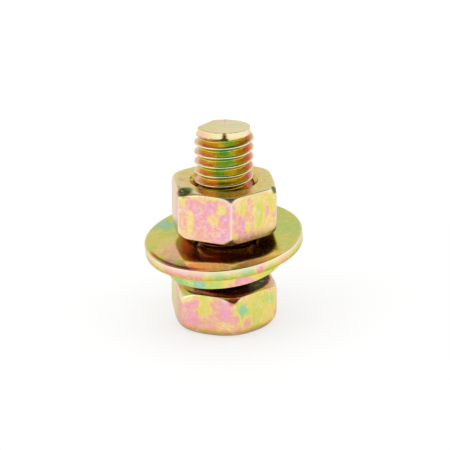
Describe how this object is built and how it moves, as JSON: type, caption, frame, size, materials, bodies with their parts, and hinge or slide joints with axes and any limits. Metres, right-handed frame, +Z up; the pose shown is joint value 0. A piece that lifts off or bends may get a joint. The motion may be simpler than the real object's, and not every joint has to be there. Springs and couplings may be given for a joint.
{
  "type": "hex bolt with nut and washers",
  "caption": "Yellow-zinc hex bolt standing on its head, with a hex nut, a flat washer and a split lock washer on its thread; clamps parts through a hole.",
  "frame": {"origin": "middle of the bolt head's outer face, which the bolt stands on", "axes": "+Z up the bolt's axis to the end of the thread, a flat of the head faces +X and a corner faces -Y"},
  "size_m": [0.0161, 0.0162, 0.0206],
  "materials": {
    "bolt_plating": "yellow chromate over zinc, iridescent, worn",
    "lock_washer_plating": "yellow chromate over zinc, iridescent green and teal",
    "flat_washer_plating": "yellow chromate over zinc, iridescent, smooth",
    "nut_plating": "yellow chromate over zinc, iridescent pink and gold, scratched"
  },
  "bodies": {
    "bolt": {"bolt": "bolt_plating"},
    "washers": {"lock_washer": "lock_washer_plating", "flat_washer": "flat_washer_plating"},
    "nut": {"nut": "nut_plating"}
  },
  "joints": [
    {"name": "nut_turn", "type": "hinge", "parent": "bolt", "child": "washers", "pos_m": [0, 0, 0.008], "axis": [0, 0, 1], "range_deg": [-54, 3060]},
    {"name": "nut_rise", "type": "slide", "parent": "washers", "child": "nut", "axis": [0, 0, 1], "range_m": [-0.00015, 0.0085]}
  ],
  "couplings": [
    {"joint": "nut_rise", "follows": "nut_turn", "m_per_rad": 0.00015915}
  ]
}
